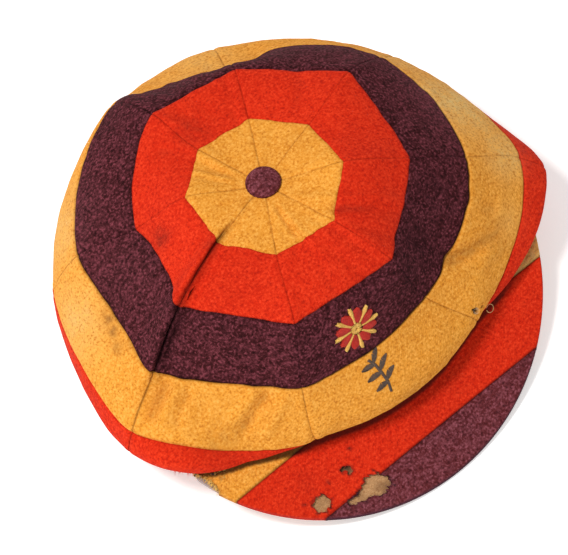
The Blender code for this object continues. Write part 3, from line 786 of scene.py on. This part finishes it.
def worn_distance(flat):
    """Distance in mm to the nearest ragged edge of the worn places: negative where cloth is gone."""
    nearest = np.full(len(flat), 1e9)
    deep = deepened(flat)
    for polygon, ragged in WORN:
        low, high = np.min(polygon, 0) - 8, np.max(polygon, 0) + 8
        near = np.all((flat > low) & (flat < high), 1)
        rag = 0.8 * noise(deep[near], 1.9, 5.1) + 1.1 * noise(deep[near], 0.9, 8.2)
        distance = polygon_distance(flat[near], polygon) + ragged * rag
        nearest[near] = np.minimum(nearest[near], distance)
    return nearest


def snapped(flat, triangles, field):
    """Moves the points nearest a field's zero line on to it, so that no triangle crosses it."""
    for _ in range(2):
        value = field(flat)
        step = 0.02
        slope = np.stack([field(flat + [step, 0]) - value, field(flat + [0, step]) - value], 1) / step
        edges = edges_of(triangles)
        first, second = value[edges[:, 0]], value[edges[:, 1]]
        crossing = first * second < 0
        nearer = np.where(np.abs(first) < np.abs(second), edges[:, 0], edges[:, 1])[crossing]
        nearer = np.unique(nearer)
        size = np.maximum(np.sum(slope[nearer] ** 2, 1), 0.2)
        move = -(value[nearer] / size)[:, None] * slope[nearer]
        flat = flat.copy()
        flat[nearer] += np.clip(move, -0.6, 0.6)
    return flat


bearing = PEAK_END * (2 * eased(PEAK_COLUMNS, 0.11) - 1) * 0.995
back_radius = ellipse_radius(bearing, HEAD_WIDTH / 2 - SEAM_ALLOWANCE, HEAD_LENGTH / 2 - SEAM_ALLOWANCE,
                             -OPENING_BACK)
front_radius = ellipse_radius(bearing, PEAK_HALF_WIDTH, PEAK_CURVE_DEPTH, PEAK_REACH - PEAK_CURVE_DEPTH)
corner = np.maximum(0, (np.abs(bearing) - PEAK_CORNER) / (PEAK_END - PEAK_CORNER))
front_radius = back_radius + (front_radius - back_radius) * np.sqrt(1 - corner ** 2)


def peak_grid(share_rows, extra=0.0):
    radius = back_radius + (front_radius + extra - back_radius) * share_rows[:, None]
    return np.stack([radius * np.sin(bearing), radius * np.cos(bearing)], -1) / MM


def on_peak(flat, height):
    """Points over the peak's top face, at a height in metres."""
    x, y = BUTTON_X + flat[..., 0] * MM, BUTTON_Y - flat[..., 1] * MM
    return np.stack([x, y, peak_top(x, y) + height], -1)


flat = peak_grid(np.linspace(0, 1, PEAK_ROWS + 1))
outline = flat[-1]
tangent = unit(np.gradient(outline, axis=0))
outward = quarter_turned(tangent)
outward = outward * np.sign(np.sum(outward * outline, 1))[:, None]
hem_flat = [outline + outward * out for out, down in HEM]
hem_down = np.array([0.0] * (PEAK_ROWS + 1) + [down for out, down in HEM])
all_flat = np.concatenate([flat, np.array(hem_flat)])
row_total, column_total = all_flat.shape[:2]
down = np.repeat(hem_down, column_total)
in_hem = np.repeat(np.arange(row_total) > PEAK_ROWS, column_total)
flat = all_flat.reshape(-1, 2)
triangles = grid_triangles(row_total, column_total)
for edge in EDGES:
    flat = snapped(flat, triangles, lambda place, edge=edge: place[:, 1] - edge / MM)
flat = snapped(flat, triangles, worn_distance)
worn = worn_distance(flat)
deep = deepened(flat)
relief = 0.10 * noise(deep, 22, 1.2) + 0.05 * noise(deep, 6, 2.6) + 0.03 * noise(deep, 2.2, 3.3) - 0.16
by_hole = bell(np.maximum(worn, 0), 1.1)
relief += by_hole * (0.22 + 0.28 * noise(deep, 1.3, 6.6))
to_edges = [np.abs(flat[:, 1] - edge / MM) for edge in EDGES]
for to_edge in to_edges:
    relief += -0.38 * bell(to_edge, 0.40) + 0.10 * bell(to_edge - 1.6, 1.1)
relief = relief * np.where(in_hem, 0.4, 1.0)
top = on_peak(flat, (relief - down) * MM)
round_normals = normals_of(top.reshape(row_total, column_total, 3), 1, closed=False).reshape(-1, 3)
thickness = np.where(in_hem, HEM_CLOTH, PEAK_CLOTH * (1 - 0.45 * by_hole))
from_edge = np.repeat(np.clip((PEAK_ROWS - np.arange(row_total)) / 3, 0, 1), column_total)
thickness = HEM_CLOTH + (thickness - HEM_CLOTH) * from_edge
bottom = top - round_normals * thickness[:, None]
middle_of = flat[triangles].mean(1)
kept = worn[triangles].mean(1) > 0
hem_dark = np.clip(down / 0.9, 0, 1) * 0.85
seam_dark = bell(np.minimum(*to_edges), 0.42)
shade = bell(np.maximum(worn, 0), 0.5) * 0.5 * (worn < 2.5)
peak_soil_and_shade = 0.05 * smooth_share(noise(deep, 9, 4.2), 0.25, 0.7) + shade
# The cloth of the peak is painted dark in a narrow line where the crown's edge rests over it: a painted
# shadow
lip = crown[row_of[FOURTH]:row_of[UNDER]].reshape(-1, 3) - polar(0, 0, 0)
lip_bearing = np.arctan2(lip[:, 0], -lip[:, 1])
steps = np.radians(np.arange(-75, 75.1, 0.5))
lip_reach = [np.hypot(*lip[np.abs(lip_bearing - step) < math.radians(0.6), :2].T).max() for step in steps]
past_lip = np.hypot(*flat.T) - np.interp(np.arctan2(flat[:, 0], flat[:, 1]), steps, lip_reach) / MM
lip_painted_shadow = 0.80 * (1 - smooth_share(past_lip, -0.7, 0.8)) * (1 - 0.7 * smooth_share(flat[:, 0], 60, 78))
ragged_dark = 0.9 * bell(np.maximum(worn, 0), 0.5)
ragged_dark *= smooth_share(noise(deep, 1.6, 9.1), -0.15, 0.3)
for colour, low, high in (("yellow", -1e9, EDGES[0]), ("red", *EDGES), ("purple", EDGES[1], 1e9)):
    mine = kept & (middle_of[:, 1] > low / MM) & (middle_of[:, 1] < high / MM)
    points, faces, used = shell(top, bottom, triangles[mine])
    # Beside dirt, tears and seams, these layers carry painted shade round the worn places, a painted shadow
    # under the crown's edge, and painted light on the yellow past 55 mm to the wearer's left, where the
    # crown's shadow falls
    layers = {"seam": seam_dark[used], "soil_and_shade": peak_soil_and_shade[used],
              "torn_and_shade": np.maximum(ragged_dark[used] * (colour != "yellow"), lip_painted_shadow[used]),
              "faded_and_lit": 0.8 * smooth_share(flat[used, 0], 55, 75) * (colour == "yellow"),
              "edge": hem_dark[used] * (1.0 if colour == "purple" else 0.3),
              "grain": deepened(flat[used] * MM)}
    cloth = WORN_PURPLE if colour == "purple" else WOOL[colour]
    new_piece(f"peak_{colour}_cloth", points, faces, cloth, f"{colour}_wool",
              [f"peak_stripe_{colour}"], on_both(layers), 50)


def board_material():
    """Pressed board: tan fibres, rubbed darker, with a grey paper face at its left end and a painted shadow
    under the torn arch.
    """
    material, shader = blank_material("peak_board", 0.9, 0.1, (0.5, 0.35, 0.2), 0.15)
    tree = material.node_tree
    place = object_place(tree)
    stretched = node(tree, "ShaderNodeMapping", {"Vector": place, "Scale": (1.0, 2.4, 1.0)}).outputs[0]
    fibre = lumps(tree, stretched, 900.0, 4.0, 0.65)
    broad = lumps(tree, place, 160.0, 3.0)
    rgb = mixed(tree, scaled(tree, fibre, 0.3, 0.7, 0.0, 1.0), (0.36, 0.165, 0.062, 1), (0.62, 0.36, 0.17, 1))
    rgb = mixed(tree, scaled(tree, broad, 0.42, 0.62, 0.0, 0.55), rgb, (0.17, 0.075, 0.03, 1))
    grey = mixed(tree, fibre, (0.20, 0.13, 0.13, 1), (0.52, 0.42, 0.42, 1))
    rgb = mixed(tree, layer(tree, "paper"), rgb, grey)
    rgb = mixed(tree, layer(tree, "arch_painted_shadow"), rgb, (0.02, 0.010, 0.008, 1))
    finish_shader(tree, shader, rgb, fibre, 0.8, 0.0003)
    return material


BOARD_ROWS = 44
board_flat = peak_grid(np.linspace(0, 1, BOARD_ROWS + 1), -0.1 * MM)[:, ::2].reshape(-1, 2)
board_columns = PEAK_COLUMNS // 2 + 1
board_deep = deepened(board_flat)
rough = 0.10 * noise(board_deep, 1.6, 2.0) + 0.06 * noise(board_deep, 6, 4.0) - 0.1
board_top = on_peak(board_flat, (rough - 1.3) * MM)
board_bottom = on_peak(board_flat, (-3.28 - 0.03 * noise(board_deep, 4, 6.0)) * MM)
points, faces, used = shell(board_top, board_bottom, grid_triangles(BOARD_ROWS + 1, board_columns))
paper = smooth_share(-board_flat[used, 0], 80, 84)
# The board is painted black under the top of the small torn arch, as a painted shadow
arch = np.array([(-43.5, 100.0), (-41.3, 99.3), (-39.3, 101.0)])
arch_painted_shadow = np.zeros(len(used))
for start, end in zip(arch[:-1], arch[1:]):
    share = np.clip((board_flat[used] - start) @ (end - start) / np.sum((end - start) ** 2), 0, 1)[:, None]
    to_arch = np.linalg.norm(board_flat[used] - start - share * (end - start), axis=1)
    arch_painted_shadow = np.maximum(arch_painted_shadow, 0.95 * bell(to_arch, 1.3))
new_piece("peak_board_core", points, faces, board_material(), "board", ["peak_board"],
          on_both({"paper": paper, "arch_painted_shadow": arch_painted_shadow}), 40)


def thread_material(name, colour, dark):
    """Loose or sewn yarn: streaked along its fibres, with a soft shine."""
    material, shader = blank_material(name, 0.6, 0.3, colour, 0.35)
    tree = material.node_tree
    place = object_place(tree)
    streak = lumps(tree, place, 1800.0, 3.0)
    broad = lumps(tree, place, 260.0, 2.0)
    rgb = mixed(tree, scaled(tree, streak, 0.35, 0.65, 0.0, 0.8), (*colour, 1), (*dark, 1))
    rgb = mixed(tree, scaled(tree, broad, 0.45, 0.65, 0.0, 0.5), rgb, (*dark, 1))
    finish_shader(tree, shader, rgb, streak, 0.6, 0.0001)
    return material


GOLD_YARN = thread_material("yarn_gold", (0.88, 0.56, 0.14), (0.55, 0.27, 0.04))
RED_YARN = thread_material("yarn_red", (0.62, 0.03, 0.015), (0.33, 0.012, 0.01))
DARK_YARN = thread_material("yarn_dark", (0.14, 0.09, 0.065), (0.045, 0.028, 0.022))
PALE_YARN = thread_material("yarn_pale", (0.80, 0.68, 0.50), (0.45, 0.32, 0.18))
TAN_YARN = thread_material("yarn_tan", (0.52, 0.33, 0.14), (0.25, 0.13, 0.05))
PLUM_YARN = thread_material("yarn_plum", (0.13, 0.04, 0.07), (0.05, 0.012, 0.028))

# Fibres that stand out of the worn places' edges, and a fringe at the peak's frayed end
FIBRES = 260
FRINGE_THREADS = 60
hairs = {"yellow": [], "red": [], "purple": []}
tuft = np.random.default_rng(23)
rim_points_flat = flat[(worn > 0) & (worn < 0.22) & ~in_hem]
for place in rim_points_flat[tuft.permutation(len(rim_points_flat))[:FIBRES]]:
    here, right_of_it, ahead_of_it = worn_distance(place + np.array([[0, 0], [0.1, 0], [0, 0.1]]))
    inward = np.array([here - right_of_it, here - ahead_of_it])
    inward = inward / max(np.hypot(*inward), 1e-6)
    swing = tuft.uniform(-1.0, 1.0)
    inward = inward * math.cos(swing) + quarter_turned(inward) * math.sin(swing)
    length = tuft.uniform(0.5, 1.7) * (1.9 if place[0] < -85 else 1.0)
    curl = tuft.uniform(-0.5, 0.5)
    t = np.linspace(0, 1, 5)[:, None]
    trail = place + inward * length * t + quarter_turned(inward) * curl * length * t ** 2
    rise = np.array([0.02, 0.18, 0.12, -0.15, -0.5]) * tuft.uniform(0.5, 1.2)
    colour = "yellow" if place[1] < EDGES[0] / MM else "red" if place[1] < EDGES[1] / MM else "purple"
    hairs[colour].append(rope(on_peak(trail, rise * MM), tuft.uniform(0.06, 0.12) * MM, 4, True))
for _ in range(FRINGE_THREADS):
    share = tuft.uniform(0, 1)
    start = np.array([np.interp(share, (0, 0.4, 1), (-96.0, -92.4, -91.5)), 62.8 + 13.5 * share])
    start = start + tuft.uniform(-0.5, 0.5, 2)
    away = np.array([-0.85, 0.25]) + tuft.uniform(-0.35, 0.35, 2)
    length = tuft.uniform(0.7, 2.1)
    t = np.linspace(0, 1, 7)[:, None]
    wave = 0.22 * np.sin(t * tuft.uniform(3, 8) + tuft.uniform(0, 6))
    trail = start + away * length * t + np.array([0.66, 0.75]) * wave
    rise = (0.25 - 1.1 * t[:, 0] + 0.2 * np.sin(5 * t[:, 0] + tuft.uniform(0, 6)))
    hairs["yellow"].append(rope(on_peak(trail, rise * MM), tuft.uniform(0.10, 0.20) * MM, 5, True))
for colour, yarn in (("yellow", GOLD_YARN), ("red", RED_YARN), ("purple", PLUM_YARN)):
    new_piece(f"peak_{colour}_fray", *joined(hairs[colour]), yarn, f"{colour}_wool")

# The button, covered in the purple cloth gathered underneath
BUTTON_RINGS = 34
BUTTON_TURNS = 96
seat = seat_points(np.array([0.0, 2.0, 4.0]), np.array([0.0, 0.01, 0.01]))
axis = unit(np.cross(seat[1] - seat[0], seat[2] - seat[0]))
sole = -BUTTON_DOME * 0.25
seat_middle = seat[0] + axis * (SEAM_GAP - sole)
side_x = unit(np.cross([0, 1.0, 0], axis))
side_y = np.cross(axis, side_x)
angle = np.arange(BUTTON_TURNS) * 2 * math.pi / BUTTON_TURNS
SHANK = (0.0022, -0.0058)  # how far out and how far down it reaches
section = [SHANK, (SHANK[0], sole), (BUTTON_RADIUS * 0.80, sole), (BUTTON_RADIUS * 0.93, sole * 0.86)]
for step in range(BUTTON_RINGS):
    tilt = math.radians(-12 + 101 * step / BUTTON_RINGS)
    section.append((BUTTON_RADIUS * math.cos(tilt), BUTTON_DOME * (math.sin(tilt) * 0.97)))
section = np.array(section)
ripple_share = bell(section[:, 1] - sole * 0.3, 0.5 * MM)
radius = section[:, :1] * (1 + 0.012 * ripple_share[:, None] * np.sin(26 * angle)[None, :])
places = (seat_middle + side_x * (radius * np.cos(angle))[..., None]
          + side_y * (radius * np.sin(angle))[..., None] + axis * section[:, 1][:, None, None])
places = places + (axis * 0.07 * MM) * noise(places, 0.0018, 3.9)[..., None]
last = (len(section) - 1) * BUTTON_TURNS
faces = tube_faces(len(section), BUTTON_TURNS)
faces += [(last + j, last + (j + 1) % BUTTON_TURNS, last + BUTTON_TURNS) for j in range(BUTTON_TURNS)]
points = np.concatenate([places.reshape(-1, 3), [seat_middle + axis * BUTTON_DOME * 0.985]])
rel = points - seat_middle
button_grain = np.stack([rel @ side_x, rel @ side_y, 0 * rel[:, 0]], -1)
# Painted shade round the button's foot, where it meets the crown
button_foot_shade = 0.35 * bell(rel @ axis - sole, 0.9 * MM)
new_piece("button_cover", points, faces, WORN_PURPLE, "purple_wool", ["button"],
          {"seam": button_foot_shade, "grain": button_grain}, 40)

# The badge: a plain rosette over a leaf sprig, in raised satin stitch on the front gore
front = crown[row_of[SECOND]:row_of[FOURTH] + 1, :COLUMNS + 1]
front_tree = BVHTree.FromPolygons(front.reshape(-1, 3).tolist(), grid_triangles(*front.shape[:2]).tolist())


class Patch:
    """A flat drawing laid on the cloth round a turn and line, with v up towards the button."""

    def __init__(self, turn, line, tilt):
        self.middle = spot_on(crown, turn, line)
        self.normal = unit(spot_on(normals, turn, line))
        higher = spot_on(crown, turn, line - 0.2) - self.middle
        higher = unit(higher - self.normal * (higher @ self.normal))
        beside = np.cross(higher, self.normal)
        self.u = beside * math.cos(tilt) + higher * math.sin(tilt)
        self.v = higher * math.cos(tilt) - beside * math.sin(tilt)

    def laid(self, drawing, heights):
        """Points of the drawing, in mm, on the cloth and raised by these heights."""
        laid = []
        for (u, v), height in zip(drawing, heights):
            start = self.middle + (self.u * u + self.v * v) * MM + self.normal * 0.02
            hit, facing, _, _ = front_tree.ray_cast(Vector(start), Vector(-self.normal), 0.05)
            if hit is None:
                hit, facing = Vector(start - self.normal * 0.02), Vector(self.normal)
            laid.append(np.array(hit) + np.array(facing) * height * MM)
        return np.array(laid)


def satin(patch, spine, widths, thread=0.21, pitch=0.40, loft=0.42, lean=0.35):
    """Raised satin stitch along a spine: threads side by side across it, high in the middle."""
    spine = np.array(spine, float)
    steps = np.linalg.norm(np.diff(spine, axis=0), axis=1)
    reach = np.concatenate([[0], np.cumsum(steps)])
    count = max(3, int(reach[-1] / pitch))
    made = []

    def at(distance):
        return np.array([np.interp(distance, reach, spine[:, k]) for k in (0, 1)])

    for distance in np.linspace(0.02, 0.98, count) * reach[-1]:
        place = at(distance)
        along = unit(at(distance + 0.1) - at(distance - 0.1))
        aside = quarter_turned(along)
        half = np.interp(distance / reach[-1], np.linspace(0, 1, len(widths)), widths) / 2
        t = np.linspace(-1, 1, 7)
        drawing = place + aside * (half * t)[:, None] + along * (lean * half * t)[:, None]
        heights = 0.06 + loft * min(1, half) * (1 - t ** 2) - 0.25 * (np.abs(t) > 0.99)
        made.append(rope(patch.laid(drawing, heights), thread * MM, 6))
    return made


def ray_at(angle):
    return np.array([math.cos(angle), math.sin(angle)])


rosette = Patch(0.475, 3.56, 0.0)
petals, gold, sprig = [], [], []
PETALS = 8
for i in range(PETALS):
    ray = ray_at(2 * math.pi * (i + 0.5) / PETALS)
    petals += satin(rosette, [ray * 3.2, ray * 6.4, ray * 10.2], (1.8, 4.6, 5.6, 4.6, 1.2), loft=0.5)
    ray = ray_at(2 * math.pi * i / PETALS)
    gold += satin(rosette, [ray * 3.0, ray * 11.2], (1.1, 1.3, 1.5, 2.1, 1.3), loft=0.8)
middle_ring = [1.6 * ray_at(angle) for angle in np.radians(np.linspace(0, 340, 25))]
gold += satin(rosette, middle_ring, (2.7, 2.7), loft=0.9, lean=0.1)
stem = Patch(0.475, 4.30, 0.12)
STEM = ((-0.5, 9.5), (0.4, 5.0), (0.0, 0.0), (-1.0, -5.0), (-3.0, -10.0))
sprig += satin(stem, STEM, (1.0, 1.3, 1.2, 1.0))
LEAVES = ((0.3, 6.2, 38, 7.4), (0.2, 5.0, 150, 7.0), (0.1, 1.2, 28, 8.2), (0.0, 0.0, 158, 7.8),
          (-0.8, -4.0, 20, 7.2), (-1.0, -5.0, 165, 6.6))
for x, y, heading, length in LEAVES:
    ray = ray_at(math.radians(heading)) * length
    spine = [(x, y), ray * 0.5 + (x, y), ray + (x, y - 0.9)]
    sprig += satin(stem, spine, (0.7, 2.3, 2.9, 2.1, 0.6), loft=0.4)
for name, made, yarn, slot in (("badge_petals", petals, RED_YARN, "red_wool"),
                               ("badge_gold", gold, GOLD_YARN, "yellow_wool"),
                               ("badge_sprig", sprig, DARK_YARN, "purple_wool")):
    new_piece(name, *joined(made), yarn, slot)

# A loose loop of tan thread, and pale ends of yarn at the moth hole
HOLE_THREADS = 16
CORNER_THREADS = 26
loops = []
rise = spot_on(normals, 1.09, 4.95)
start = spot_on(crown, 1.09, 4.95)
t = np.linspace(0, 2 * math.pi * 0.92, 22)[:, None]
outward_way = unit(np.array([0.55, -0.62, 0.1]))
sideways_way = unit(np.array([0.75, 0.66, 0.25]))
loop = start + (rise * 0.5 + outward_way * (1 - np.cos(t)) * 1.5 + sideways_way * np.sin(t) * 1.9) * MM
tan_loop = rope(loop, 0.15 * MM, 6)
hole = spot_on(crown, *MOTH_HOLE)
up_way = spot_on(normals, *MOTH_HOLE)
for i in range(HOLE_THREADS):
    heading = 2 * math.pi * i / HOLE_THREADS + tuft.uniform(-0.2, 0.2)
    ray = unit(outward_way * math.cos(heading) + sideways_way * math.sin(heading))
    t = np.linspace(0, 1, 5)[:, None]
    trail = hole + up_way * (1.6 + 0.25 * np.sin(3 * t) - 0.5 * t) * MM + ray * (1.5 - 1.0 * t) * MM
    loops.append(rope(trail, tuft.uniform(0.06, 0.10) * MM, 4, True))
new_piece("loose_threads", *joined(loops), PALE_YARN, "yellow_wool")
new_piece("loose_loop", *tan_loop, TAN_YARN, "yellow_wool")
# Ends of red yarn at the crown's lowest corner
ends = []
for _ in range(CORNER_THREADS):
    turn, line = 7.30 + tuft.uniform(-0.07, 0.05), 5.95 + tuft.uniform(-0.15, 0.2)
    way = unit(spot_on(normals, turn, line) + np.array([-0.5, -0.5, -0.1]) + tuft.uniform(-0.4, 0.4, 3))
    t = np.linspace(0, 1, 5)[:, None]
    trail = way * (tuft.uniform(0.9, 2.0) * t - 0.3) - [0, 0, 0.6] * t ** 2
    trail = spot_on(crown, turn, line) + trail * MM
    ends.append(rope(trail, tuft.uniform(0.07, 0.13) * MM, 4, True))
new_piece("corner_fray", *joined(ends), RED_YARN, "red_wool")


def set_back(obj, target, direction, distance):
    """Puts a camera or lamp at this distance from its target, and points it there."""
    obj.location = Vector(target + direction * distance)
    obj.rotation_euler = Vector(direction).to_track_quat("Z", "Y").to_euler()


# Camera, at the photograph's angle
AZIMUTH = math.radians(-41.3)
ELEVATION = math.radians(65.6)
PIXEL = 0.43 * MM  # on the cap, in the photograph
PHOTO = (568, 555)
BUTTON_PIXEL = (263.5, 183.6)
DISTANCE = 3.0
SENSOR = 36.0
toward = np.array([math.sin(AZIMUTH) * math.cos(ELEVATION), -math.cos(AZIMUTH) * math.cos(ELEVATION),
                   math.sin(ELEVATION)])
right = np.array([math.cos(AZIMUTH), math.sin(AZIMUTH), 0])
upward = np.cross(toward, right)
button_place = np.array([BUTTON_X, BUTTON_Y, CROWN_HEIGHT])
middle = (button_place + right * (PHOTO[0] / 2 - BUTTON_PIXEL[0]) * PIXEL
          - upward * (PHOTO[1] / 2 - BUTTON_PIXEL[1]) * PIXEL)
camera_data = bpy.data.cameras.new("camera")
camera_data.sensor_width = SENSOR
camera_data.lens = SENSOR * DISTANCE / (PHOTO[0] * PIXEL)
camera_data.clip_end = 20
camera = in_scene("camera", camera_data)
set_back(camera, middle, toward, DISTANCE)
bpy.context.scene.camera = camera
bpy.context.scene.view_settings.view_transform = "Standard"

# Floor and light. The floor glows a little, so that its shadows stay pale.
FLOOR_GLOW = 0.42
FLOOR_DROP = 0.2 * MM
floor_mesh = bpy.data.meshes.new("floor")
floor_mesh.from_pydata([(-6, -6, 0), (6, -6, 0), (6, 6, 0), (-6, 6, 0)], [], [(0, 1, 2, 3)])
floor = in_scene("floor", floor_mesh)
floor.location.z = -FLOOR_DROP
floor_material, floor_shader = blank_material("floor", 0.95, 0, (1, 1, 1), 0.1)
floor_shader.inputs["Base Color"].default_value = (0.93, 0.93, 0.92, 1)
floor_shader.inputs["Emission Color"].default_value = (1, 1, 1, 1)
floor_shader.inputs["Emission Strength"].default_value = FLOOR_GLOW
floor_mesh.materials.append(floor_material)


def soft_light(name, direction, distance, size, watts, colour=(1, 1, 1)):
    data = bpy.data.lights.new(name, "AREA")
    data.shape = "DISK"
    data.size = size
    data.energy = watts
    data.color = colour
    set_back(in_scene(name, data), np.zeros(3), unit(direction), distance)


WORLD_LIGHT = 0.41
soft_light("key", toward * 0.95 - right * 0.40 + upward * 0.27, 2.3, 0.50, 40, (1, 0.99, 0.97))
soft_light("fill", toward * 0.8 - right * 0.25 - upward * 0.70, 2.6, 2.2, 12)
world = bpy.data.worlds.new("world")
bpy.context.scene.world = world
world.use_nodes = True
world.node_tree.nodes["Background"].inputs["Color"].default_value = (1, 1, 1, 1)
world.node_tree.nodes["Background"].inputs["Strength"].default_value = WORLD_LIGHT
